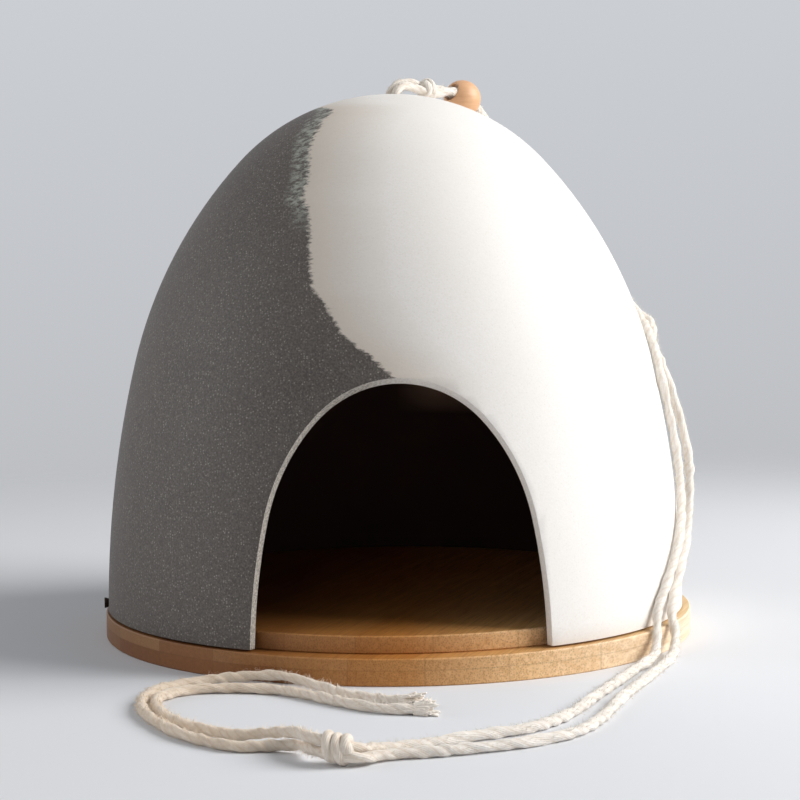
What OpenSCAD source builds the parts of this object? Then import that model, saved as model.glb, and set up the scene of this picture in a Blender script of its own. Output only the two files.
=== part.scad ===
// Igloo birdhouse: a moulded egg-shaped shell with an arched doorway, held by three small screws
// on a round bamboo base, with a doubled cotton cord, a wooden bead and three knots.
// Millimetres, +Z up, the doorway faces -Y, the origin is the bottom centre of the base.

/* [Base] */
// Diameter of the bottom disc
base_d = 200; // [180:1:240]
// Thickness of the bottom disc
base_t = 8.5; // [6:0.5:14]
// Thickness of the upper disc that the shell slips over
seat_t = 5.6; // [4.5:0.1:10]
// Free space between the upper disc and the inside of the shell
seat_gap = 2.5; // [0.5:0.1:3.5]
// Width of the broken edges of both discs
edge = 0.4; // [0.2:0.1:1]

/* [Shell] */
// Outside diameter of the shell at its rim
rim_d = 196.4; // [188:0.2:199]
// Thickness of the moulded wall
wall = 3; // [2.4:0.1:4]
// Height of the rim above the bottom disc
rim_gap = 0.7; // [0.3:0.1:1.5]
// Distance that the shell and the upper disc sit to the left of the bottom disc's centre
shift = 1; // [0:0.1:1.5]
// Radius of the arc of the side wall
side_r = 365; // [320:5:480]
// Radius of the arc of the shoulder
shoulder_r = 152; // [140:1:160]
// Angle above the horizontal at which the side arc meets the shoulder arc
side_end = 13.7; // [10:0.1:18]
// Angle above the horizontal at which the shoulder arc meets the crown
shoulder_end = 43; // [38:0.5:48]
// Diameter of the hole in the crown that the cord passes through
top_hole_d = 7.2; // [6.6:0.1:8.4]

/* [Doorway] */
// Width of the doorway between its feet, on the outer face
door_w = 92.7; // [80:0.1:100]
// Radius of the arc of each leg
leg_r = 238; // [200:2:280]
// Radius of the arc of each haunch
haunch_r = 62.6; // [56:0.2:66]
// Angle above the horizontal at which the leg meets the haunch
leg_end = 11; // [9:0.5:14]
// Angle above the horizontal at which the haunch meets the top arc
haunch_end = 43.4; // [38:0.2:48]
// Height above the floor of the point that the cut aims at, on the shell's axis
aim_z = 30; // [20:1:45]

/* [Screws] */
// Diameter of a screw's head
head_d = 3.5; // [3:0.1:4.2]
// Diameter of a screw's shank
shank_d = 2; // [1.6:0.1:2.4]
// Length of a screw over all
screw_len = 14; // [12:0.5:18]
// How far the left screw stands out of the shell
left_proud = 1.4; // [0:0.1:2]
// How far each of the other screws stands out of the shell
flush_proud = 0.1; // [0:0.1:0.5]
// Angle by which the ring of screws is turned away from the sides of the doorway
screw_turn = 6; // [0:1:15]

/* [Cord and bead] */
// Diameter of one strand of the cord
cord_d = 3; // [2.6:0.1:3]
// Diameter of the wooden bead
bead_d = 13; // [11:0.5:13]
// Diameter of the hole through the bead
bead_hole_d = 6.2; // [6.2:0.1:7]
// Diameter of the knot inside the shell
stopper_d = 9; // [8.6:0.1:11]
// Diameter of the knot on the crown
crown_knot_d = 7.4; // [6.8:0.1:7.4]
// Diameter of the knot on the floor
tail_knot_d = 8.4; // [7.6:0.1:8.6]

/* [Hidden] */
$fn = 180;

// Room round a screw in the shell and in the upper disc, and a length beyond every piece
fit = 0.1;
snug = 0.05;
far = 500;

cord_r = cord_d / 2;
rim_r = rim_d / 2;
rim_z = base_t + rim_gap;
rim_lean = 0.5;
seat_r = rim_r - wall - seat_gap;
seat_top = base_t + seat_t;

// An arch is three arcs that meet smoothly: foot, middle and top, the top one centred on the axis
function dir(a) = [cos(a), sin(a)];
function top_arc_r(half, r1, a0, a1, r2, a2) =
    (half - r1 * (cos(a0) - cos(a1)) - r2 * (cos(a1) - cos(a2))) / cos(a2);
function arch_centres(half, z0, r1, a0, a1, r2, a2) =
    let(c1 = [half, z0] - r1 * dir(a0),
        c2 = c1 + (r1 - r2) * dir(a1),
        c3 = c2 + (r2 - top_arc_r(half, r1, a0, a1, r2, a2)) * dir(a2))
    [c1, c2, c3];

crown_r = top_arc_r(rim_r, side_r, rim_lean, side_end, shoulder_r, shoulder_end);
shell_radii = [side_r, shoulder_r, crown_r];
shell_centres = arch_centres(rim_r, rim_z, side_r, rim_lean, side_end, shoulder_r, shoulder_end);
shell_angles = [rim_lean, side_end, shoulder_end, 90];
shell_sides = 72;
arc_sides = 96;
overlap = 6;
shell_top = shell_centres[2][1] + shell_radii[2];

// The doorway's outline lies in the upright plane through its two feet on the shell's outer face
leg_lean = 1.36;
foot_turn = 2;
door_half = door_w / 2;
door_y = sqrt(rim_r * rim_r - door_half * door_half);
door_top_r = top_arc_r(door_half, leg_r, leg_lean, leg_end, haunch_r, haunch_end);
door_radii = [leg_r, haunch_r, door_top_r];
door_centres = arch_centres(door_half, rim_z, leg_r, leg_lean, leg_end, haunch_r, haunch_end);
door_angles = [leg_lean - foot_turn, leg_end, haunch_end, 90];
door_steps = [4, 7, 8];
cut_near = 0.6;
cut_far = 1.3;

// The screws sit in the middle of the upper disc's edge
screw_z = base_t + seat_t / 2;
head_land = 0.4;
head_cone = 2.4;
tip_len = 2.5;
recess_w = 0.55;
recess_len = 2.2;
recess_depth = 0.8;

knot_pitch = 2.7;
crown_turns = 2;
full_turns = 3;
stopper_z = shell_top - wall - 0.2 - knot_len(full_turns) / 2;
crown_knot_at = [11.5, 10, 184.6];
crown_knot_dir = [0.742, 0.623, -0.247];
tail_knot_at = [-20.2, -194.5, 4.5];
tail_knot_dir = [-0.94, 0.33, 0.1];
bead_at = [24.3, 20.8, 181.8];
bead_dir = [0.694, 0.583, -0.423];

// Routes of the two strands, from the hole in the crown to the frayed ends on the floor
crown_route_a = [
    [-1.1, 1.6, 179.4], [-1, 1.8, 182.6], [1.1, 3.8, 185.8], [5, 6.4, 186.5], [8.4, 9.1, 186.1]];
crown_route_b = [[0.6, -1, 179.5], [0.8, -0.9, 182.9], [3.2, 1.3, 185.3], [9.7, 6.8, 184.1]];
side_route_a = [
    [13.2, 13, 184.8], [19.4, 18.7, 184.1], [27.2, 25.3, 179.4], [30.6, 28.4, 174.4],
    [34.6, 30.4, 168.8], [40.5, 33.1, 161], [47.4, 36.8, 152], [57.3, 38.8, 139],
    [69, 34.9, 124.5], [78.5, 25.1, 113], [83.7, 16.8, 107.3], [88.1, 5.6, 103.7],
    [88.2, -2.2, 96.3], [90, -6, 91], [91.5, -9, 86], [96, -9.4, 72.5], [98.8, -10.5, 58.5],
    [98.6, -14, 45], [96.3, -22.5, 33], [92, -35.7, 22.5], [87.6, -48.3, 12.5], [87.8, -54.5, 6.5],
    [85.5, -66, 2.2], [78, -86, 1.6], [61, -128, 1.6], [53.5, -150, 1.6], [44, -168, 1.6],
    [29, -179, 1.6], [9, -186.5, 1.6], [-7, -190.5, 1.7], [-14.8, -196.8, 2.6],
    [-15.9, -197.3, 2.7]];
side_route_b = [
    [14.7, 10.4, 183.3], [21.3, 16.3, 184.1], [29.2, 22.9, 179.4], [32.7, 25.4, 174.4],
    [36.9, 26.7, 168.8], [42.3, 29.7, 161.5], [49.3, 32.4, 153], [58.7, 33.9, 141],
    [69.2, 30.7, 127.5], [79.1, 20.3, 115], [84.5, 7.5, 106], [86.3, -1.5, 101],
    [87.5, -9.2, 95.3], [88.5, -15.5, 87.5], [91.4, -13, 76], [94, -12, 64], [95.1, -14.5, 53],
    [94.4, -24, 42.5], [91.4, -36.5, 32.5], [86.6, -47.9, 23], [82, -56.2, 14.5], [81, -62, 8],
    [79, -70, 2.8], [72, -83.5, 1.6], [54, -124.5, 1.6], [44, -147, 1.6], [33, -161.5, 1.6],
    [18, -170, 1.6], [1.5, -179.5, 1.6], [-9, -186.5, 2.3], [-14.8, -193.6, 4.3],
    [-16, -194.2, 4.4]];
tail_route_a = [
    [-24.9, -193.1, 3.4], [-26.3, -192.2, 3.4], [-30, -182.5, 2.5], [-38, -179, 1.7], [-46, -179, 1.6],
    [-58.5, -169, 1.6], [-70, -150, 1.6], [-76.5, -129, 1.6], [-75.5, -110.5, 1.6], [-65, -96.5, 1.6],
    [-51.5, -92, 2.1], [-38, -95.2, 3], [-26.5, -104.8, 1.8], [-17, -117, 1.6], [4.5, -130.5, 1.6]];
tail_route_b = [
    [-24.6, -193, 6.5], [-26, -192, 6.5], [-32, -180, 5.5], [-40, -171, 3.2], [-48, -165.5, 1.6],
    [-64, -150, 1.6], [-71.5, -133, 1.6], [-72.5, -117, 1.6], [-64.5, -107.3, 1.6], [-51, -105.3, 1.6],
    [-37.5, -109.5, 1.6], [-8, -135.5, 1.6], [9, -138.5, 1.6]];

// Board with broken edges, drawn as half of its section
module disc(r, t) {
    rotate_extrude()
        polygon([[0, 0], [r - edge, 0], [r, edge], [r, t - edge], [r - edge, t], [0, t]]);
}

// Half of the solid egg that one face of the wall bounds, as three sectors that overlap a little
module egg_half(inset) {
    intersection() {
        union() {
            for (i = [0:2])
                translate(shell_centres[i])
                    intersection() {
                        circle(shell_radii[i] - inset, $fn = arc_sides);
                        polygon([[0, 0], far * dir(shell_angles[i] - (i > 0 ? overlap : 0)),
                                 far * dir(shell_angles[i + 1] + (i > 1 ? overlap : 0))]);
                    }
        }
        square(far);
    }
}

// Points along an arch from its right foot to its top
function arch_points(centres, radii, angles, steps) = [
    for (i = [0:2], k = [0:steps[i] - (i < 2 ? 1 : 0)])
        centres[i] + radii[i] * dir(angles[i] + (angles[i + 1] - angles[i]) * k / steps[i])];

// The doorway is cut square to the wall, so its outline grows in proportion to the distance from a
// point on the shell's axis
function door_ring(outline, k) =
    [for (p = outline) [p[0] * k, -door_y * k, aim_z + (p[1] - aim_z) * k]];

module door_cut() {
    half = arch_points(door_centres, door_radii, door_angles, door_steps);
    last = len(half) - 1;
    outline = concat([[-half[0][0], -rim_z], [half[0][0], -rim_z]], half,
                     [for (k = [1:last]) [-half[last - k][0], half[last - k][1]]]);
    n = len(outline);
    sides = [for (i = [0:n - 1]) [n + i, n + (i + 1) % n, (i + 1) % n, i]];
    polyhedron(concat(door_ring(outline, cut_near), door_ring(outline, cut_far)),
               concat(sides, [[for (i = [0:n - 1]) i], [for (i = [0:n - 1]) 2 * n - 1 - i]]));
}

// A screw lies along X with its head's face at 0 and its tip at -X
module screw_form(grow, lead) {
    rotate([0, 90, 0])
        rotate_extrude($fn = 36)
            polygon([[0, lead], [head_d / 2 + grow, lead], [head_d / 2 + grow, -head_land],
                     [shank_d / 2 + grow, -head_land - head_cone],
                     [shank_d / 2 + grow, tip_len - screw_len], [0, -screw_len - grow]]);
}

// Places its child where a screw stands, at an angle round the shell from its right side
module at_screw(angle, proud) {
    translate([-shift, 0, screw_z])
        rotate([0, 0, angle])
            translate([shell_r_at(screw_z) + proud, 0, 0])
                children();
}

function shell_r_at(z) = shell_centres[0][0] + sqrt(side_r * side_r - pow(z - shell_centres[0][1], 2));

screw_places = [[180 + screw_turn, left_proud], [screw_turn, flush_proud],
                [90 + screw_turn, flush_proud]];

module screw_holes(grow) {
    for (p = screw_places)
        at_screw(p[0], p[1])
            screw_form(grow, 3);
}

module screw(i) {
    color("#1d1613")
        at_screw(screw_places[i][0], screw_places[i][1])
            difference() {
                screw_form(0, 0);
                for (turn = [0, 90])
                    rotate([turn, 0, 0])
                        cube([2 * recess_depth, recess_len, recess_w], center = true);
            }
}

function knot_len(turns) = (turns - 1) * knot_pitch + cord_d;

// A knot is a row of turns of cord round the two strands that run through it
module knot(d, turns) {
    l = knot_len(turns);
    rotate_extrude()
        union() {
            translate([0, -l / 2])
                square([(d - cord_d) / 2, l]);
            for (k = [0:turns - 1])
                translate([(d - cord_d) / 2, (k - (turns - 1) / 2) * knot_pitch])
                    circle(cord_r, $fn = 48);
        }
}

// Turns the Z axis of its child along a direction and moves it to a point
module along(at, d) {
    translate(at)
        rotate([0, acos(d[2] / norm(d)), atan2(d[1], d[0])])
            children();
}

// A strand is one tube swept along its route, with a ring of sides at each point
cord_sides = 8;
function unit(v) = v / norm(v);
function tangent(p, i) = unit(p[min(i + 1, len(p) - 1)] - p[max(i - 1, 0)]);
function ring(p, i) =
    let(t = tangent(p, i),
        u = unit(cross(t, abs(t[2]) > 0.9 ? [0, 1, 0] : [0, 0, 1])),
        v = cross(u, t))
    [for (k = [0:cord_sides - 1])
        let(a = k * 360 / cord_sides)
        p[i] + cord_r * (cos(a) * u + sin(a) * v)];

module strand(route) {
    last = len(route) - 1;
    points = [for (i = [0:last]) each ring(route, i)];
    sides = [for (i = [0:last - 1], k = [0:cord_sides - 1])
        let(a = i * cord_sides, n = (k + 1) % cord_sides)
        each [[a + k, a + n, a + cord_sides + n], [a + k, a + cord_sides + n, a + cord_sides + k]]];
    near_end = [for (k = [0:cord_sides - 1]) cord_sides - 1 - k];
    far_end = [for (k = [0:cord_sides - 1]) last * cord_sides + k];
    color("#e3dacb")
        polyhedron(points, concat(sides, [near_end, far_end]));
}

module base_disc() {
    color("#a8713f")
        disc(base_d / 2, base_t);
}

module seat_disc() {
    color("#b07c46")
        difference() {
            translate([-shift, 0, base_t])
                disc(seat_r, seat_t);
            screw_holes(snug);
        }
}

module dome_shell() {
    color("#5b5855")
        difference() {
            // The revolved wall has its seam in the doorway
            translate([-shift, 0, 0])
                rotate([0, 0, -90])
                    rotate_extrude($fn = shell_sides)
                        difference() {
                            egg_half(0);
                            egg_half(wall);
                        }
            translate([-shift, 0, 0])
                door_cut();
            translate([-shift, 0, shell_top - 2 * wall])
                cylinder(h = 3 * wall, d = top_hole_d);
            screw_holes(fit);
        }
}

module bead() {
    color("#c99a63")
        along(bead_at, bead_dir)
            rotate_extrude()
                difference() {
                    circle(bead_d / 2, $fn = 96);
                    translate([-far / 2, -far / 2])
                        square([far / 2 + bead_hole_d / 2, far]);
                }
}

module stopper_knot() {
    color("#e3dacb")
        translate([-shift, 0, stopper_z])
            knot(stopper_d, full_turns);
}

module crown_knot() {
    color("#e3dacb")
        along(crown_knot_at, crown_knot_dir)
            knot(crown_knot_d, crown_turns);
}

module tail_knot() {
    color("#e3dacb")
        along(tail_knot_at, tail_knot_dir)
            knot(tail_knot_d, full_turns);
}

base_disc();
seat_disc();
dome_shell();
screw(0);  // screw_left
screw(1);  // screw_right
screw(2);  // screw_back
bead();
stopper_knot();
crown_knot();
tail_knot();
strand(crown_route_a);  // crown_cord_a
strand(crown_route_b);  // crown_cord_b
strand(side_route_a);  // side_cord_a
strand(side_route_b);  // side_cord_b
strand(tail_route_a);  // tail_cord_a
strand(tail_route_b);  // tail_cord_b
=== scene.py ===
import math

import bpy
import numpy as np
from mathutils import Matrix, Vector


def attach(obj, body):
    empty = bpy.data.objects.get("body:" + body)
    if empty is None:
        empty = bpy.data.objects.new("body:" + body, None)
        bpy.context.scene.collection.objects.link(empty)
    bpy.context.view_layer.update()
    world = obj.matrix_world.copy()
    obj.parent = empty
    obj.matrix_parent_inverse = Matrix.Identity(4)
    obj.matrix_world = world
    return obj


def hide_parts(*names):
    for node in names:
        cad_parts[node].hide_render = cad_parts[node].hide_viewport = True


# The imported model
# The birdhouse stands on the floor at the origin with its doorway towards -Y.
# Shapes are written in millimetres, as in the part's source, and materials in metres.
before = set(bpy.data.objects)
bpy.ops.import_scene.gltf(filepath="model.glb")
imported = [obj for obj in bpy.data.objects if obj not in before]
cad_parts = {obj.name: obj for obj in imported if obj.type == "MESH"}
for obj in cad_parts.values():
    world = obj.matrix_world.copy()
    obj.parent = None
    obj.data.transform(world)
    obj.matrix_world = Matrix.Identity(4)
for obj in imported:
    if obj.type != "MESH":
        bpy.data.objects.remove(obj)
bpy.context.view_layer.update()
MM = 0.001

# Camera
# A long lens, 0.75 m in front of the middle and 0.14 m above the floor, looks a little down.
# The picture is square, and the lens is for a sensor 36 mm wide.
camera_data = bpy.data.cameras.new("camera")
camera_data.sensor_fit = "HORIZONTAL"
camera_data.sensor_width = 36
camera_data.lens = 99
camera_data.clip_end = 20
camera = bpy.data.objects.new("camera", camera_data)
bpy.context.scene.collection.objects.link(camera)
camera_place = Vector((-15.75, -751.74, 139.46)) * MM
camera_turn = math.radians(-1.291)
camera_tilt = math.radians(90 - 4.643)
camera_roll = math.radians(-0.532)
camera.matrix_world = (
    Matrix.Translation(camera_place)
    @ Matrix.Rotation(camera_turn, 4, "Z")
    @ Matrix.Rotation(camera_tilt, 4, "X")
    @ Matrix.Rotation(camera_roll, 4, "Z")
)
bpy.context.scene.camera = camera

# Hanging cord
# Two strands of soft cotton cord, 3 mm thick and twisted from three plies, leave one hole in the
# crown, pass a knot and a bead, fall over the right side and lie on the floor to their frayed ends.
CORD_D = 3.0
ROUTE_STEP = 0.6
crown_route_a = [
    (-1.1, 1.6, 176), (-1.1, 1.6, 179.4), (-1, 1.8, 182.6), (1.1, 3.8, 185.8), (5, 6.4, 186.5),
    (8.4, 9.1, 186.1)]
crown_route_b = [
    (0.6, -1, 176), (0.6, -1, 179.5), (0.8, -0.9, 182.9), (3.2, 1.3, 185.3), (9.7, 6.8, 184.1)]
side_route_a = [
    (13.2, 13, 184.8), (19.4, 18.7, 184.1), (27.2, 25.3, 179.4), (30.6, 28.4, 174.4),
    (34.6, 30.4, 168.8), (40.5, 33.1, 161), (47.4, 36.8, 152), (57.3, 38.8, 139),
    (69, 34.9, 124.5), (78.5, 25.1, 113), (83.7, 16.8, 107.3), (88.1, 5.6, 103.7),
    (88.2, -2.2, 96.3), (90, -6, 91), (91.5, -9, 86), (96, -9.4, 72.5), (98.8, -10.5, 58.5),
    (98.6, -14, 45), (96.3, -22.5, 33), (92, -35.7, 22.5), (87.6, -48.3, 12.5), (87.8, -54.5, 6.5),
    (85.5, -66, 2.2), (78, -86, 1.6), (61, -128, 1.6), (53.5, -150, 1.6), (44, -168, 1.6),
    (29, -179, 1.6), (9, -186.5, 1.6), (-7, -190.5, 1.7), (-15.2, -197, 2.6)]
side_route_b = [
    (14.7, 10.4, 183.3), (21.3, 16.3, 184.1), (29.2, 22.9, 179.4), (32.7, 25.4, 174.4),
    (36.9, 26.7, 168.8), (42.3, 29.7, 161.5), (49.3, 32.4, 153), (58.7, 33.9, 141),
    (69.2, 30.7, 127.5), (79.1, 20.3, 115), (84.5, 7.5, 106), (86.3, -1.5, 101),
    (87.5, -9.2, 95.3), (88.5, -15.5, 87.5), (91.4, -13, 76), (94, -12, 64), (95.1, -14.5, 53),
    (94.4, -24, 42.5), (91.4, -36.5, 32.5), (86.6, -47.9, 23), (82, -56.2, 14.5), (81, -62, 8),
    (79, -70, 2.8), (72, -83.5, 1.6), (54, -124.5, 1.6), (44, -147, 1.6), (33, -161.5, 1.6),
    (18, -170, 1.6), (1.5, -179.5, 1.6), (-9, -186.5, 2.3), (-15.4, -194, 4.4)]
tail_route_a = [
    (-25.6, -192.6, 3.4), (-30, -182.5, 2.5), (-38, -179, 1.7), (-46, -179, 1.6),
    (-58.5, -169, 1.6), (-70, -150, 1.6), (-76.5, -129, 1.6), (-75.5, -110.5, 1.6),
    (-65, -96.5, 1.6), (-51.5, -92, 2.1), (-38, -95.2, 3), (-26.5, -104.8, 1.8),
    (-17, -117, 1.6), (4.5, -130.5, 1.6)]
tail_route_b = [
    (-25.3, -192.5, 6.5), (-32, -180, 5.5), (-40, -171, 3.2), (-48, -165.5, 1.6),
    (-64, -150, 1.6), (-71.5, -133, 1.6), (-72.5, -117, 1.6), (-64.5, -107.3, 1.6),
    (-51, -105.3, 1.6), (-37.5, -109.5, 1.6), (-8, -135.5, 1.6), (9, -138.5, 1.6)]


def distance_along(path):
    """The distance run at each point of a path."""
    return np.concatenate([[0], np.cumsum(np.linalg.norm(np.diff(path, axis=0), axis=1))])


def smooth_route(points, step):
    """One smooth curve through a route's points, as points a step apart: a centripetal spline."""
    fineness = 40
    p = np.array(points, float)
    p = np.vstack([2 * p[0] - p[1], p, 2 * p[-1] - p[-2]])
    t = np.concatenate([[0], np.cumsum(np.sqrt(np.linalg.norm(np.diff(p, axis=0), axis=1)))])

    def between(at, start, end, first, last):
        """Start and end, shared out by where the points lie from one knot to another."""
        span = t[last] - t[first]
        return (t[last] - at) / span * start + (at - t[first]) / span * end

    fine = []
    for i in range(1, len(p) - 2):
        at = np.linspace(t[i], t[i + 1], fineness, endpoint=i == len(p) - 3)[:, None]
        a = [between(at, p[j], p[j + 1], j, j + 1) for j in (i - 1, i, i + 1)]
        b = [between(at, a[k], a[k + 1], i - 1 + k, i + 1 + k) for k in (0, 1)]
        fine.append(between(at, b[0], b[1], i, i + 1))
    fine = np.vstack(fine)
    run = distance_along(fine)
    even = np.linspace(0, run[-1], max(2, round(run[-1] / step)))
    return np.stack([np.interp(even, run, fine[:, k]) for k in range(3)], axis=1)


def carried_frames(path):
    """Directions along a path and two ways across it, carried along without twist."""
    nearly_upright = 0.3
    along = np.gradient(path, axis=0)
    along /= np.linalg.norm(along, axis=1)[:, None]
    across = np.zeros_like(path)
    first = np.cross(along[0], (0.0, 0.0, 1.0))
    if np.linalg.norm(first) < nearly_upright:
        first = np.cross(along[0], (0.0, 1.0, 0.0))
    across[0] = first / np.linalg.norm(first)
    for i in range(1, len(path)):
        v = across[i - 1] - along[i] * (across[i - 1] @ along[i])
        across[i] = v / np.linalg.norm(v)
    return along, across, np.cross(along, across)


def ring_faces(rings, ring_points, sides, closed=False):
    """Four-sided faces from each ring of points to the next one."""
    last = rings if closed else rings - 1
    i, k = np.meshgrid(np.arange(last), np.arange(sides), indexing="ij")
    here, there, beside = i * ring_points, (i + 1) % rings * ring_points, (k + 1) % ring_points
    return np.stack([here + k, here + beside, there + beside, there + k], axis=-1).reshape(-1, 4)


def add_piece(name, vertices, faces, uv=None, smooth=True):
    """A mesh piece from points in millimetres, with UVs where its material needs them."""
    mesh = bpy.data.meshes.new(name)
    mesh.from_pydata((np.asarray(vertices) * MM).tolist(), [], faces)
    if uv is not None:
        layer = mesh.uv_layers.new(name="UVMap")
        loops = np.zeros(len(mesh.loops), int)
        mesh.loops.foreach_get("vertex_index", loops)
        layer.data.foreach_set("uv", np.asarray(uv)[loops].ravel())
    mesh.polygons.foreach_set("use_smooth", [smooth] * len(mesh.polygons))
    mesh.update()
    piece = bpy.data.objects.new(name, mesh)
    bpy.context.scene.collection.objects.link(piece)
    return piece


PLY_SIDES = 24
TWIST_LENGTH = 13.0
CREST_R = 1.52
GROOVE = 0.06
FLATTENING = 0.10
FLAT_TURN = 9.0
# Waves that make twist and thickness uneven: height, length over 2 pi, share of the phase
TWIST_WAVES = [(2.5, 9, 1), (0.8, 3.1, 0)]
THICKNESS_WAVES = [(0.06, 4.7, 1), (0.045, 2.1, 2), (0.03, 0.9, 0)]


def uneven(value, run, phase, waves):
    """A value with waves added to it along the cord."""
    for height, length, share in waves:
        value = value + height * np.sin(run / length + share * phase)
    return value


def twisted_tube(path, phase=0.0):
    """Vertices, faces and UVs of a soft three-ply cord along a path, a little uneven."""
    lowest = 0.02
    _, u, v = carried_frames(path)
    run = distance_along(path)
    angles = np.arange(PLY_SIDES + 1) * 2 * math.pi / PLY_SIDES
    turn = uneven(run, run, phase, TWIST_WAVES) / TWIST_LENGTH * 2 * math.pi + phase
    thick = uneven(1, run, phase, THICKNESS_WAVES)
    lobe = 1 - GROOVE * (0.5 - 0.5 * np.cos(3 * angles)) ** 1.5
    flat = 1 + FLATTENING * np.cos(2 * (angles[None, :] + run[:, None] / FLAT_TURN))
    r = CREST_R * lobe[None, :] * flat * thick[:, None]
    a = angles[None, :] + turn[:, None]
    out = np.cos(a)[..., None] * u[:, None] + np.sin(a)[..., None] * v[:, None]
    points = path[:, None] + r[..., None] * out
    points[..., 2] = np.maximum(points[..., 2], lowest)
    around, along = angles[None, :] / (2 * math.pi), run[:, None] / TWIST_LENGTH
    uv = np.stack(np.broadcast_arrays(around, along), axis=-1)
    return points.reshape(-1, 3), ring_faces(len(path), PLY_SIDES + 1, PLY_SIDES), uv.reshape(-1, 2)


def joined(parts):
    """Several sets of vertices, faces and UVs as one."""
    starts = np.cumsum([0] + [len(vertices) for vertices, _, _ in parts])
    faces = []
    for start, (_, part_faces, _) in zip(starts, parts):
        faces += (np.asarray(part_faces) + start).tolist()
    return np.vstack([part[0] for part in parts]), faces, np.vstack([part[2] for part in parts])


def held_near(away, reach):
    """Offsets from the middle of the cord, with the long ones shortened to a reach."""
    return away * np.minimum(1, reach / np.linalg.norm(away, axis=1))[:, None]


# Loose fibres have the colour of a ply's crest
LINT_UV = [0.0, 0.3]


def loose_fibres(path, per_mm, seed, longest=1.6):
    """Short fine fibres that stand off a cord along its path, as flat ribbons that bend over."""
    root = 0.86 * CREST_R
    half_width = 0.05
    skew = 0.01
    lean_along = 1.0
    lean_about = 0.6
    shortest = 0.35
    reach = 3.2
    lowest = 0.05
    rng = np.random.default_rng(seed)
    tangent, u, v = carried_frames(path)
    count = int(per_mm * ROUTE_STEP * len(path))
    at = rng.integers(0, len(path), count)
    angle = rng.uniform(0, 2 * math.pi, count)
    out = np.cos(angle)[:, None] * u[at] + np.sin(angle)[:, None] * v[at]
    lean = rng.normal(0, lean_along, (count, 1)) * tangent[at]
    lean = lean + rng.normal(0, lean_about, (count, 3))
    length = rng.uniform(shortest, 1, (count, 1)) ** 2 * longest
    start = path[at] + out * root
    middle = start + (out + 0.5 * lean) * length * 0.5
    end = middle + (0.5 * out + lean) * length * 0.5
    for points in (start, middle, end):
        points[:] = path[at] + held_near(points - path[at], reach)
        points[:, 2] = np.maximum(points[:, 2], lowest)
    width = np.cross(out, tangent[at] + skew) * half_width
    rows = np.stack([start - width, start + width, middle - width, middle + width, end], axis=1)
    corner = np.arange(count)[:, None] * 5
    faces = np.concatenate([corner + [0, 1, 3], corner + [0, 3, 2], corner + [2, 3, 4]])
    return rows.reshape(-1, 3), faces, np.tile(LINT_UV, (count * 5, 1))


def frayed_end(path, back, seed, count=64):
    """Yarns that open out at a cut end, over the last points of the path."""
    yarn_r = 0.62
    sides = 6
    rings = 7
    packed = 1.4
    opened = 2.1
    curl = 0.5
    reach = 3.3
    lowest_middle = 0.25
    lowest = 0.03
    rng = np.random.default_rng(seed)
    _, u, v = carried_frames(path)
    steps = np.linspace(0, 1, rings)
    around = np.arange(sides) * 2 * math.pi / sides
    ring = np.cos(around)[:, None] * u[-1] + np.sin(around)[:, None] * v[-1]
    tip = (rings - 1) * sides
    cap = np.array([[0, 1, 2, 3], [0, 3, 4, 5]]) + tip
    faces = np.vstack([ring_faces(rings, sides, sides), cap])
    uv = np.tile(LINT_UV, (rings * sides, 1))
    parts = []
    for _ in range(count):
        angle, radius = rng.uniform(0, 2 * math.pi), math.sqrt(rng.uniform(0.02, 1))
        side = math.cos(angle) * u[-1] + math.sin(angle) * v[-1]
        index = len(path) - 1 - back + steps * rng.uniform(0.45, 0.92) * back
        spine = [np.interp(index, np.arange(len(path)), path[:, k]) for k in range(3)]
        spread = radius * (packed + opened * steps ** 1.3 * rng.uniform(0.5, 1.0))
        away = side * spread[:, None] + rng.normal(0, curl, 3) * steps[:, None] ** 2
        line = np.stack(spine, axis=1) + held_near(away, reach)
        line[:, 2] = np.maximum(line[:, 2], lowest_middle)
        thick = yarn_r * (1 - 0.5 * steps ** 2)
        points = line[:, None] + thick[:, None, None] * ring[None]
        points[..., 2] = np.maximum(points[..., 2], lowest)
        parts.append((points.reshape(-1, 3), faces, uv))
    return joined(parts)


class Nodes:
    """Short words for the nodes of one tree. An input is a value or another node's output."""

    def __init__(self, tree):
        self.tree = tree

    def node(self, kind, inputs=(), **settings):
        """One node of a kind, with its settings and inputs."""
        node = self.tree.nodes.new("ShaderNode" + kind)
        for key, value in settings.items():
            setattr(node, key, value)
        for key, value in dict(inputs).items():
            if isinstance(value, bpy.types.NodeSocket):
                self.tree.links.new(value, node.inputs[key])
            else:
                node.inputs[key].default_value = value
        return node

    def calc(self, operation, *values):
        """Arithmetic on one to three values."""
        return self.node("Math", enumerate(values), operation=operation).outputs[0]

    def fade(self, value, low, high, start=0.0, end=1.0):
        """A number that goes from start to end while the value goes from low to high."""
        limits = {"From Min": low, "From Max": high, "To Min": start, "To Max": end}
        return self.node("MapRange", {"Value": value, **limits}).outputs[0]

    def split(self, place):
        """The X, Y and Z of a place."""
        return self.node("SeparateXYZ", {0: place}).outputs

    def stretched(self, place, scale, **more):
        """A place in another scale along each axis, turned or moved where more says so."""
        return self.node("Mapping", {"Vector": place, "Scale": scale, **more}).outputs[0]

    def noise(self, place, scale, detail, roughness=0.5):
        """Soft noise about 0.5."""
        inputs = {"Vector": place, "Scale": scale, "Detail": detail, "Roughness": roughness}
        return self.node("TexNoise", inputs).outputs["Fac"]

    def cells(self, place, scale, randomness):
        """Cells with a distance from their middle and a colour each."""
        inputs = {"Vector": place, "Scale": scale, "Randomness": randomness}
        return self.node("TexVoronoi", inputs).outputs

    def blend(self, factor, first, second, mode="MIX"):
        """A mix of two colours."""
        inputs = {0: factor, 6: first, 7: second}
        return self.node("Mix", inputs, data_type="RGBA", blend_type=mode).outputs[2]


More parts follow.
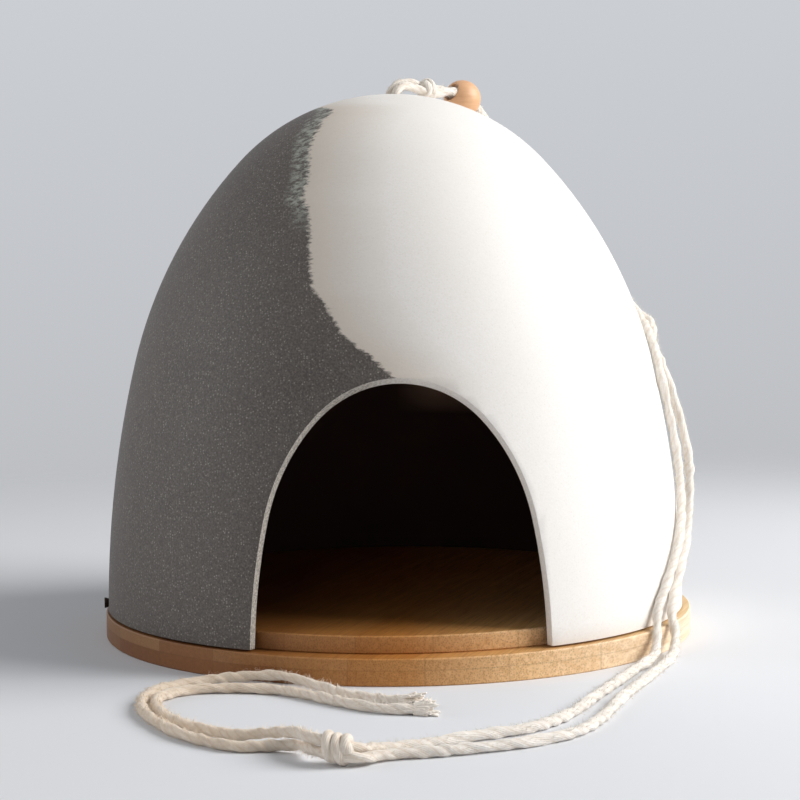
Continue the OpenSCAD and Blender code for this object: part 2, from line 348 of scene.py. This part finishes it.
class Finish(Nodes):
    """A new material for this object, and the nodes that give it its colour and its relief."""

    def __init__(self, name):
        self.material = bpy.data.materials.new(name)
        self.material.use_nodes = True
        super().__init__(self.material.node_tree)
        self.shader = self.tree.nodes["Principled BSDF"]
        self.place = self.node("TexCoord").outputs["Object"]

    def put(self, tone, **numbers):
        """A colour and the shader's own numbers, each by its name with _ for a space."""
        if isinstance(tone, bpy.types.NodeSocket):
            self.tree.links.new(tone, self.shader.inputs["Base Color"])
        else:
            self.shader.inputs["Base Color"].default_value = tone
        for name, value in numbers.items():
            self.shader.inputs[name.replace("_", " ")].default_value = value

    def emboss(self, height, strength, depth):
        """A fine relief."""
        bump = self.node("Bump", {"Height": height, "Strength": strength, "Distance": depth})
        self.tree.links.new(bump.outputs[0], self.shader.inputs["Normal"])


def shade(red, green, blue):
    """Linear colour of a screen colour written from 0 to 255."""
    def one(c):
        c /= 255
        return c / 12.92 if c <= 0.04045 else ((c + 0.055) / 1.055) ** 2.4
    return (one(red), one(green), one(blue), 1)


cotton = Finish("cotton_cord")
cord_uv = cotton.node("UVMap").outputs["UV"]
# The grooves between the plies are painted darker: painted shade in the creases
lobe = cotton.calc("MULTIPLY", cotton.split(cord_uv)["X"], 3 * math.pi)
lobe = cotton.calc("ABSOLUTE", cotton.calc("COSINE", lobe))
groove_shade = cotton.fade(lobe, 0.0, 0.6)
# Threads of the three plies run at a slant round the cord
threads = cotton.stretched(cord_uv, (15, 5, 1))
threads = cotton.node("VectorMath", {0: threads, 1: (1, 1, 0)}, operation="DOT_PRODUCT")
threads = cotton.calc("MULTIPLY", threads.outputs["Value"], 2 * math.pi)
threads = cotton.calc("SINE", threads)
lint = cotton.noise(cotton.place, 900, 4, 0.7)
patches = cotton.noise(cotton.place, 160, 2)
cream = cotton.blend(patches, shade(255, 253, 249), shade(248, 241, 231))
cream = cotton.blend(cotton.fade(lint, 0.30, 0.62), shade(242, 233, 222), cream)
tone = cotton.blend(groove_shade, shade(238, 227, 213), cream)
# Towards the left, where it lies on the floor, the cord is painted a little darker and warmer:
# painted shade on the side away from the key lamp
painted_left_shade = cotton.fade(cotton.split(cotton.place)["X"], 0.015, -0.05, 0.0, 0.7)
tone = cotton.blend(painted_left_shade, tone, cotton.blend(1.0, tone, shade(238, 222, 202), "MULTIPLY"))
cotton.put(tone, Roughness=0.95, Sheen_Weight=0.4, Specular_IOR_Level=0.1)
relief = cotton.calc("MULTIPLY_ADD", threads, 0.25, 0.5)
cotton.emboss(cotton.calc("ADD", relief, lint), strength=0.6, depth=0.00028)

STEPS_IN_HOLE = 8
FRAYED_STEPS = 11


def lay_strand(name, crown, side, tail, phase, seed):
    """One strand from the knot inside the shell to its frayed end on the floor."""
    path = smooth_route(crown + side + tail, ROUTE_STEP)
    piece = add_piece(name, *joined([
        twisted_tube(path[:-FRAYED_STEPS + 1], phase),
        loose_fibres(path[STEPS_IN_HOLE:-FRAYED_STEPS + 1], per_mm=22, seed=seed),
        loose_fibres(path[-FRAYED_STEPS:], per_mm=6, seed=seed + 1, longest=1.8),
        frayed_end(path, back=FRAYED_STEPS + 2, seed=seed + 2)]))
    piece.data.materials.append(cotton.material)
    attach(piece, "root")
    return piece, path


strand_a, path_a = lay_strand(
    "cotton_strand_a", crown_route_a, side_route_a, tail_route_a, phase=0.0, seed=11)
strand_b, path_b = lay_strand(
    "cotton_strand_b", crown_route_b, side_route_b, tail_route_b, phase=1.1, seed=21)
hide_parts("crown_cord_a", "side_cord_a", "tail_cord_a")
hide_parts("crown_cord_b", "side_cord_b", "tail_cord_b")

# Knots
# The strands are knotted together three times: inside the shell, on the crown before the bead,
# and once more on the floor. Each knot shows as turns of cord drawn tight round both strands.
TURN_PITCH = 2.484


def turned_to(direction):
    """Rotation that takes +Z to a direction."""
    return Vector((0, 0, 1)).rotation_difference(Vector(direction).normalized()).to_matrix()


def tie_knot(name, node, centre, direction, across, turns, slant):
    """Turns of cord that cross the knot at a slant, their ends tucked inwards."""
    tucked = 0.35
    tuck_turns = 0.3
    overlap = 0.35
    turn_steps = 40
    step = 0.5
    reach = (across - CORD_D) / 2
    last = turns - 1 + overlap
    t = np.linspace(-overlap, last, turn_steps * turns)
    drawn_out = np.clip(np.minimum(t + overlap, last - t) / tuck_turns, 0, 1)
    r = reach * (tucked + (1 - tucked) * drawn_out ** 0.5)
    a = 2 * math.pi * t
    height = (t - (turns - 1) / 2) * TURN_PITCH
    local = np.stack([r * np.cos(a), r * np.sin(a), height + slant * r * np.cos(a)], axis=1)
    path = local @ np.array(turned_to(direction)).T + np.array(centre)
    piece = add_piece(name, *twisted_tube(smooth_route(path[::4], step)))
    piece.data.materials.append(cotton.material)
    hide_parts(node)
    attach(piece, "root")
    return piece


stopper = tie_knot(
    "stopper_knot_turns", "stopper_knot", (-1, 0, 175), (0, 0, 1),
    across=9, turns=3, slant=0.15)
crown_knot = tie_knot(
    "crown_knot_turns", "crown_knot", (11.5, 10, 184.6), (0.742, 0.623, -0.247),
    across=7.4, turns=2, slant=0.2)
tail_knot = tie_knot(
    "tail_knot_turns", "tail_knot", (-20.2, -194.5, 4.5), (-0.94, 0.33, 0.1),
    across=8.4, turns=3, slant=0.2)

# Bead
# A turned wooden bead, 13 mm across, threaded on both strands so that it slides to shorten the
# loop. Its bore is wide enough for two strands, with the edges rounded by tumbling.
BEAD_D = 13.0
BEAD_HOLE = 6.2
BEAD_SIDES = 72
BALL_STEPS = 48
LIP_ANGLE = 0.10
LIP_WIDTH = 0.12
LIP_DEPTH = 0.6


def lathe(name, profile, sides, place):
    """A turned piece: a closed profile of (radius, height) points, spun round Z and then placed."""
    a = np.arange(sides) * 2 * math.pi / sides
    p = np.array(profile)
    ring = np.stack([np.cos(a), np.sin(a)], axis=1)
    heights = np.broadcast_to(p[:, None, 1:], (len(p), sides, 1))
    points = np.concatenate([p[:, None, :1] * ring[None], heights], axis=2)
    flat = points.reshape(-1, 3) @ np.array(place.to_3x3()).T + np.array(place.translation)
    return add_piece(name, flat, ring_faces(len(p), sides, sides, closed=True))


bore_angle = math.asin(BEAD_HOLE / BEAD_D)
lip_z = BEAD_D / 2 * math.cos(bore_angle)
ball = [(BEAD_D / 2 * math.sin(a), BEAD_D / 2 * math.cos(a))
        for a in np.linspace(bore_angle + LIP_ANGLE, math.pi - bore_angle - LIP_ANGLE, BALL_STEPS)]
bore = [(BEAD_HOLE / 2 + LIP_WIDTH, -lip_z + LIP_WIDTH), (BEAD_HOLE / 2, -lip_z + LIP_DEPTH),
        (BEAD_HOLE / 2, lip_z - LIP_DEPTH), (BEAD_HOLE / 2 + LIP_WIDTH, lip_z - LIP_WIDTH)]
bead_turn = turned_to((0.694, 0.583, -0.423)).to_4x4()
bead_place = Matrix.Translation((24.3, 20.8, 181.8)) @ bead_turn
bead = lathe("turned_bead", (ball + bore)[::-1], BEAD_SIDES, bead_place)

bead_wood = Finish("bead_wood")
long_grain = bead_wood.stretched(bead_wood.place, (160, 160, 1600), Rotation=(0.5, 0.4, 0.7))
long_grain = bead_wood.noise(long_grain, 1, 3)
tone = bead_wood.blend(long_grain, shade(196, 138, 94), shade(244, 202, 160))
tone = bead_wood.blend(bead_wood.noise(bead_wood.place, 220, 2), tone, shade(232, 182, 138))
bead_wood.put(tone, Roughness=0.45)
bead_wood.emboss(long_grain, strength=0.2, depth=0.0001)
bead.data.materials.append(bead_wood.material)
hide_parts("bead")
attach(bead, "root")

# Bamboo base
# Two discs sawn from laminated bamboo board: a wide one to stand on and a smaller one on top of
# it. The strips run one way, so the edge shows long grain on the left and pores on the right.
STRIP_TURN = math.radians(-20)
STRIP_WIDTH = 0.0225
STRIP_START = 0.0055
PLY_HEIGHT = 0.0048
UPPER_PLY_KEY = 7.3
BOARD_R = 0.1
bamboo = Finish("laminated_bamboo")
along = bamboo.stretched(
    bamboo.place, (1, 1, 1), Rotation=(0, 0, -STRIP_TURN), Location=(STRIP_START, 0, 0))
across, _, board_z = bamboo.split(along)
strip = bamboo.calc("MULTIPLY", across, 1 / STRIP_WIDTH)
strip_index = bamboo.calc("FLOOR", strip)
strip_edge = bamboo.calc("SUBTRACT", bamboo.calc("FRACT", strip), 0.5)
joint_line = bamboo.fade(bamboo.calc("ABSOLUTE", strip_edge), 0.485, 0.5, 0.0, 0.22)
from_ply = bamboo.calc("ABSOLUTE", bamboo.calc("ADD", board_z, -PLY_HEIGHT))
ply_line = bamboo.fade(from_ply, 0.0001, 0.0003, 0.16, 0.0)
upper_ply = bamboo.calc("GREATER_THAN", board_z, PLY_HEIGHT)
strip_key = bamboo.calc("MULTIPLY_ADD", upper_ply, UPPER_PLY_KEY, strip_index)
strip_shade = bamboo.node("TexWhiteNoise", {"W": strip_key}, noise_dimensions="1D")
pores = bamboo.cells(bamboo.stretched(along, (2100, 70, 1500)), 1, 0.9)
pore_tone = bamboo.fade(pores["Distance"], 0.15, 0.55, 0.26, 0.0)
grain = bamboo.noise(bamboo.stretched(along, (1300, 22, 1300)), 0.5, 4, 0.65)
clouds = bamboo.fade(bamboo.noise(bamboo.place, 22, 2), 0.3, 0.7, 0.0, 0.1)
to_right = bamboo.fade(bamboo.split(bamboo.place)["X"], -BOARD_R, BOARD_R)
# The boards are painted darker brown on the left and light straw on the right: painted shade on the
# side away from the key lamp and painted light on the lit side
painted_light_ramp = bamboo.node("ValToRGB", {0: to_right})
tones = [(0.0, (106, 65, 30)), (0.3, (156, 102, 50)), (0.5, (213, 154, 88)),
         (0.68, (253, 216, 168)), (1.0, (255, 246, 230))]
for k, (share, tone) in enumerate(tones):
    stops = painted_light_ramp.color_ramp.elements
    stop = stops[k] if k < 2 else stops.new(share)
    stop.position, stop.color = share, shade(*tone)
tone = bamboo.blend(bamboo.fade(grain, 0.3, 0.7), shade(226, 208, 184), shade(255, 251, 244))
tone = bamboo.blend(1.0, painted_light_ramp.outputs["Color"], tone, "MULTIPLY")
strip_mix = bamboo.calc("MULTIPLY", strip_shade.outputs["Value"], 0.16)
tone = bamboo.blend(strip_mix, tone, shade(238, 198, 142))
tone = bamboo.blend(clouds, tone, shade(120, 76, 40))
end_grain = bamboo.fade(to_right, 0.72, 0.9, 1.5, 0.5)
tone = bamboo.blend(bamboo.calc("MULTIPLY", pore_tone, end_grain), tone, shade(110, 68, 34))
# The upward faces are painted darker and browner: painted shade for the seat under the shell
facing = bamboo.split(bamboo.node("TexCoord").outputs["Normal"])["Z"]
painted_top_shade = bamboo.blend(1.0, tone, shade(232, 218, 190), "MULTIPLY")
tone = bamboo.blend(bamboo.fade(facing, 0.7, 0.95), tone, painted_top_shade)
tone = bamboo.blend(ply_line, tone, shade(90, 54, 26))
tone = bamboo.blend(joint_line, tone, shade(80, 48, 24))
bamboo.put(tone, Roughness=0.5, Specular_IOR_Level=0.35)
bamboo.emboss(grain, strength=0.25, depth=0.00015)


def finish_nodes(names, material):
    """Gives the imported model's own solids a material."""
    for name in names:
        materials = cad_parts[name].data.materials
        materials.clear()
        materials.append(material)


finish_nodes(("base_disc", "seat_disc"), bamboo.material)

# Screws
# Three small black countersunk screws pass through the shell's wall into the edge of the upper
# disc. The left one isn't driven home and shows its head.
black_steel = Finish("black_screw_steel")
wear = black_steel.noise(black_steel.place, 900, 3)
tone = black_steel.blend(wear, shade(30, 22, 18), shade(64, 46, 34))
black_steel.put(tone, Metallic=0.6, Roughness=0.5)
finish_nodes(("screw_left", "screw_right", "screw_back"), black_steel.material)

# Shell
# One moulding of fibre and resin, an even 3 mm thick, with a dark face that gives way to off-white
# on the right. The doorway is sawn square to the wall, and the rim hangs just clear of the base.
SHELL_X = -1.0
RIM_R = 98.2
RIM_Z = 9.2
WALL = 3.0
SHELL_RADII = (365, 152)
SHELL_ANGLES = (0.5, 13.7, 43)
SHELL_STEPS = (14, 16, 22)
SHELL_SIDES = 192
DOOR_HALF = 46.35
DOOR_RADII = (238, 62.6)
DOOR_ANGLES = (1.36, 11, 43.4)
DOOR_STEPS = (12, 20, 24)
DOOR_START = -0.64
AIM_Z = 30.0
# Where the saw starts and ends, as shares of the way from the axis to the doorway
SAW_REACH = (0.6, 1.3)
DRILL_R = 3.6
DRILL_LOW = 170
DRILL_HIGH = 190
DRILL_TIP_R = 0.01
DRILL_SIDES = 48
OUTER_FACE, INNER_FACE, SAWN_FACE = 0, 1, 2


def on_circle(degrees):
    """The point of a circle of radius 1 at an angle."""
    return np.array([math.cos(math.radians(degrees)), math.sin(math.radians(degrees))])


def three_arcs(half, foot_z, radii, angles, steps, inset=0.0, start=None):
    """Points along three arcs that meet smoothly, from the foot to the top on the axis.

    The radii are those of the first two arcs, and the third one is as wide as it takes to end on
    the axis. The angles are those of the foot and of the two places where the arcs meet.
    """
    (r1, r2), (a0, a1, a2) = radii, angles
    c0, c1, c2 = (math.cos(math.radians(a)) for a in angles)
    r3 = (half - r1 * (c0 - c1) - r2 * (c1 - c2)) / c2
    middle1 = np.array([half, foot_z]) - r1 * on_circle(a0)
    middle2 = middle1 + (r1 - r2) * on_circle(a1)
    middle3 = middle2 + (r2 - r3) * on_circle(a2)
    arcs = [(middle1, r1, a0 if start is None else start, a1), (middle2, r2, a1, a2),
            (middle3, r3, a2, 90)]
    points = []
    for (middle, r, low, high), n in zip(arcs, steps):
        points += [middle + (r - inset) * on_circle(low + (high - low) * k / n) for k in range(n)]
    points.append(middle3 + (r3 - inset) * on_circle(90))
    points = np.array(points)
    points[-1][0] = 0
    return points


def spun(profile):
    """A profile spun round the axis: a ring for each of its points and one point at the top."""
    spin = np.arange(SHELL_SIDES) * 2 * math.pi / SHELL_SIDES
    ring = np.stack([np.cos(spin), np.sin(spin)], axis=1)
    p = profile[:-1]
    heights = np.broadcast_to(p[:, None, 1:], (len(p), SHELL_SIDES, 1))
    points = np.concatenate([p[:, None, :1] * ring[None], heights], axis=2)
    return np.vstack([points.reshape(-1, 3), [[0, 0, profile[-1][1]]]])


shell_arcs = (RIM_R, RIM_Z, SHELL_RADII, SHELL_ANGLES, SHELL_STEPS)
profile = three_arcs(*shell_arcs)
outside = spun(profile)
inside = spun(three_arcs(*shell_arcs, inset=WALL))
rows, count = len(profile) - 1, len(outside)
top_row = (rows - 1) * SHELL_SIDES
faces, face_kinds = [], []
for k in range(SHELL_SIDES):
    n = (k + 1) % SHELL_SIDES
    for i in range(rows - 1):
        a, b = i * SHELL_SIDES, (i + 1) * SHELL_SIDES
        faces.append([a + k, a + n, b + n, b + k])
        faces.append([count + a + n, count + a + k, count + b + k, count + b + n])
        face_kinds += [OUTER_FACE, INNER_FACE]
    faces.append([top_row + k, top_row + n, count - 1])
    faces.append([count + top_row + n, count + top_row + k, 2 * count - 1])
    faces.append([n, k, count + k, count + n])
    face_kinds += [OUTER_FACE, INNER_FACE, SAWN_FACE]
shell = add_piece("moulded_shell", np.vstack([outside, inside]) + (SHELL_X, 0, 0), faces)
shell.data.polygons.foreach_set("material_index", face_kinds)

# The saw is guided on the outside and aimed at one point on the axis, so it tapers inwards
door_y = math.sqrt(RIM_R ** 2 - DOOR_HALF ** 2)
arch = three_arcs(DOOR_HALF, RIM_Z, DOOR_RADII, DOOR_ANGLES, DOOR_STEPS, start=DOOR_START)
legs = [[-arch[0][0], -RIM_Z], [arch[0][0], -RIM_Z]]
outline = np.vstack([legs, arch, arch[-2::-1] * (-1, 1)])
n = len(outline)
ends = []
for k in SAW_REACH:
    ends.append(np.stack([outline[:, 0] * k + SHELL_X, np.full(n, -door_y * k),
                          AIM_Z + (outline[:, 1] - AIM_Z) * k], axis=1))
sides = [[i, (i + 1) % n, n + (i + 1) % n, n + i] for i in range(n)]
caps = [list(range(n - 1, -1, -1)), list(range(n, 2 * n))]
saw = add_piece("door_saw", np.vstack(ends), sides + caps, smooth=False)
bit = [(DRILL_TIP_R, DRILL_LOW), (DRILL_R, DRILL_LOW), (DRILL_R, DRILL_HIGH),
       (DRILL_TIP_R, DRILL_HIGH)]
drill = lathe("crown_drill", bit, DRILL_SIDES, Matrix.Translation((SHELL_X, 0, 0)))
for tool in (saw, drill):
    tool.data.polygons.foreach_set("material_index", [SAWN_FACE] * len(tool.data.polygons))
    cut = shell.modifiers.new(tool.name, "BOOLEAN")
    cut.object = tool
    cut.operation = "DIFFERENCE"
    cut.solver = "EXACT"
soften = shell.modifiers.new("sanded_edges", "BEVEL")
soften.width = 0.45 * MM
soften.segments = 2
soften.limit_method = "ANGLE"
soften.angle_limit = math.radians(50)
bpy.context.view_layer.objects.active = shell
shell.select_set(True)
for modifier in list(shell.modifiers):
    bpy.ops.object.modifier_apply(modifier=modifier.name)
for tool in (saw, drill):
    bpy.data.objects.remove(tool)
shell.data.set_sharp_from_angle(angle=math.radians(40))

# Height above the floor and distance to the right of the centre, where dark meets pale
BOUNDARY = [
    (0, 0), (88, 0), (91.6, -2.2), (95, -5.8), (98.8, -9.7), (103.3, -15.7), (109.6, -20.8),
    (115.6, -23.9), (118.7, -26.9), (128.4, -27.8), (135.2, -28.1), (142.6, -28.4), (147.4, -30),
    (152.8, -28.5), (157.6, -28.2), (163.5, -27.9), (172.3, -24.1), (176.2, -21), (177.6, -24),
    (179.5, -32), (200, -40)]
BOUNDARY_TOP = 200
BOUNDARY_WIDTH = 100
RAGGED = 0.0055


def brushed_line(finish):
    """Metres to the right of the line where dark meets pale, the brush strokes, and the height."""
    right, _, height = finish.split(finish.place)
    curve = finish.node("FloatCurve", {"Value": finish.fade(height, 0.0, BOUNDARY_TOP * MM)})
    points = curve.mapping.curves[0].points
    while len(points) < len(BOUNDARY):
        points.new(0.5, 0.5)
    for point, (z, x) in zip(points, BOUNDARY):
        point.location = (z / BOUNDARY_TOP, 0.5 + x / BOUNDARY_WIDTH)
    curve.mapping.update()
    width = BOUNDARY_WIDTH * MM
    line = finish.calc("MULTIPLY_ADD", curve.outputs[0], -width, width / 2)
    slanted = finish.stretched(finish.place, (340, 600, 1000), Rotation=(0, math.radians(-30), 0))
    strokes = finish.noise(slanted, 1, 4, 0.65)
    ragged = finish.calc("MULTIPLY_ADD", strokes, RAGGED, -RAGGED / 2)
    return finish.calc("ADD", finish.calc("ADD", right, line), ragged), strokes, height


def speckled(finish, per_metre, low, high):
    """Round fine specks of chopped fibre, of uneven size and strength."""
    specks = finish.cells(finish.place, per_metre, 1.0)
    dots = finish.fade(specks["Distance"], low, high, 1.0, 0.0)
    strength = finish.node("SeparateColor", {0: specks["Color"]}).outputs["Red"]
    return finish.calc("MULTIPLY", dots, finish.calc("POWER", strength, 1.8))


moulded = Finish("moulded_fibre_resin")
beyond, strokes, height = brushed_line(moulded)
fine_specks = speckled(moulded, 1250, 0.10, 0.42)
specks = moulded.calc("MAXIMUM", fine_specks, speckled(moulded, 420, 0.05, 0.14))
mottle = moulded.noise(moulded.place, 45, 4)
flour = moulded.noise(moulded.place, 1500, 3, 0.7)
dark = moulded.blend(mottle, shade(76, 70, 66), shade(90, 84, 80))
dark = moulded.blend(moulded.fade(flour, 0.42, 0.68, 0.0, 0.6), dark, shade(124, 118, 112))
dark = moulded.blend(specks, dark, shade(164, 158, 150))
# The brushed band beside the line, where the dark layer thins out near the crown
band = moulded.calc("MULTIPLY", moulded.fade(beyond, -0.0062, -0.003),
                    moulded.fade(height, 0.136, 0.146))
band = moulded.calc("MULTIPLY", band, moulded.fade(strokes, 0.42, 0.58))
dark = moulded.blend(band, dark, shade(164, 166, 157))
pale = moulded.blend(mottle, shade(242, 239, 235), shade(247, 245, 242))
beside_line = moulded.fade(beyond, 0.0, 0.026, 0.9, 0.0)
pale = moulded.blend(beside_line, pale, shade(216, 205, 192))
pale = moulded.blend(moulded.fade(flour, 0.3, 0.7, 0.0, 0.16), pale, shade(206, 196, 182))
pale = moulded.blend(moulded.calc("MULTIPLY", specks, 0.25), pale, shade(206, 196, 182))
tone = moulded.blend(moulded.fade(beyond, -0.0006, 0.0007), dark, pale)
moulded.put(tone, Roughness=0.6, Specular_IOR_Level=0.35)
moulded.emboss(flour, strength=0.25, depth=0.00015)

# Dark brown inside, partly the moulding's own dark colour and partly painted shade where little
# light gets in, and paler high on the right
inner_face = Finish("shaded_inner_face")
inner_mottle = inner_face.noise(inner_face.place, 30, 3)
tone = inner_face.blend(inner_mottle, shade(66, 48, 40), shade(88, 66, 54))
right, _, height = inner_face.split(inner_face.place)
high_right = inner_face.calc("MULTIPLY", inner_face.fade(right, 0.002, 0.016),
                             inner_face.fade(height, 0.066, 0.082))
inner_face.put(inner_face.blend(high_right, tone, shade(252, 214, 186)), Roughness=0.8)

# The sawn edge shows the gritty fibre, grey in the dark part and cream in the pale one
sawn_edge = Finish("sawn_fibre_edge")
grit = sawn_edge.fade(sawn_edge.noise(sawn_edge.place, 1400, 3, 0.8), 0.35, 0.65)
grey = sawn_edge.blend(grit, shade(138, 133, 124), shade(214, 209, 200))
cream = sawn_edge.blend(grit, shade(232, 226, 218), shade(246, 242, 236))
in_pale_part = sawn_edge.fade(sawn_edge.split(sawn_edge.place)["X"], -0.012, 0.004)
sawn_edge.put(sawn_edge.blend(in_pale_part, grey, cream), Roughness=0.8)

for finish in (moulded, inner_face, sawn_edge):
    shell.data.materials.append(finish.material)
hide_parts("dome_shell")
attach(shell, "root")

# Floor, backdrop and lights
# A pale sheet of paper fades into a soft grey backdrop a little way behind the birdhouse. A large
# lamp at the right does most of the work, and a weaker one at the left lifts the dark side.
PAPER_HALF = 700.0
LAMP_SIZE = 0.9
paper = Finish("pale_paper")
paper.put(shade(226, 228, 232), Roughness=0.9, Specular_IOR_Level=0.1)
from_middle = paper.node("VectorMath", {0: paper.place}, operation="LENGTH").outputs["Value"]
fading = paper.node("MapRange", {"Value": from_middle, "From Min": 0.24, "From Max": 0.66},
                    interpolation_type="SMOOTHERSTEP")
clear = paper.node("BsdfTransparent")
faded = paper.node("MixShader", {0: fading.outputs[0], 1: paper.shader.outputs[0],
                                 2: clear.outputs[0]})
paper.tree.links.new(faded.outputs[0], paper.tree.nodes["Material Output"].inputs["Surface"])
corners = [(-PAPER_HALF, -PAPER_HALF, 0), (PAPER_HALF, -PAPER_HALF, 0),
           (PAPER_HALF, PAPER_HALF, 0), (-PAPER_HALF, PAPER_HALF, 0)]
floor = add_piece("floor", corners, [[0, 1, 2, 3]], smooth=False)
floor.data.materials.append(paper.material)

# The room gives soft white light, and the camera sees a grey that is paler towards the top.
# Is Glossy Ray and Is Transmission Ray are added there, so that metal and glass show that
# background too, and the floor keeps the object's shadow.
world = bpy.data.worlds.new("studio")
bpy.context.scene.world = world
world.use_nodes = True
studio = Nodes(world.node_tree)
room = studio.tree.nodes["Background"]
room.inputs["Color"].default_value = (1, 1, 1, 1)
room.inputs["Strength"].default_value = 0.2
height = studio.split(studio.node("TexCoord").outputs["Generated"])["Z"]
grey = studio.blend(studio.fade(height, -0.10, 0.10), shade(190, 192, 196), shade(203, 206, 211))
backdrop = studio.node("Background", {"Color": grey})
ray = studio.node("LightPath").outputs
seen = studio.calc("MAXIMUM", ray["Is Camera Ray"], ray["Is Transmission Ray"])
seen = studio.calc("MAXIMUM", seen, ray["Is Glossy Ray"])
sky = studio.node("MixShader", {0: seen, 1: room.outputs[0], 2: backdrop.outputs[0]})
studio.tree.links.new(sky.outputs[0], studio.tree.nodes["World Output"].inputs["Surface"])


def hang_lamp(name, place, power, color):
    """A soft round lamp, aimed at the middle of the birdhouse."""
    aim = Vector((0, 0, 0.08))
    data = bpy.data.lights.new(name, "AREA")
    data.shape = "DISK"
    data.size = LAMP_SIZE
    data.energy = power
    data.color = color
    lamp = bpy.data.objects.new(name, data)
    bpy.context.scene.collection.objects.link(lamp)
    lamp.location = place
    lamp.rotation_euler = (aim - Vector(place)).to_track_quat("-Z", "Y").to_euler()


hang_lamp("key_lamp", (1.0, -0.14, 0.7), power=18.5, color=(1.0, 0.99, 0.98))
hang_lamp("left_lamp", (-1.0, -0.1, 0.45), power=4.5, color=(0.97, 0.98, 1.0))
bpy.context.scene.view_settings.view_transform = "Standard"
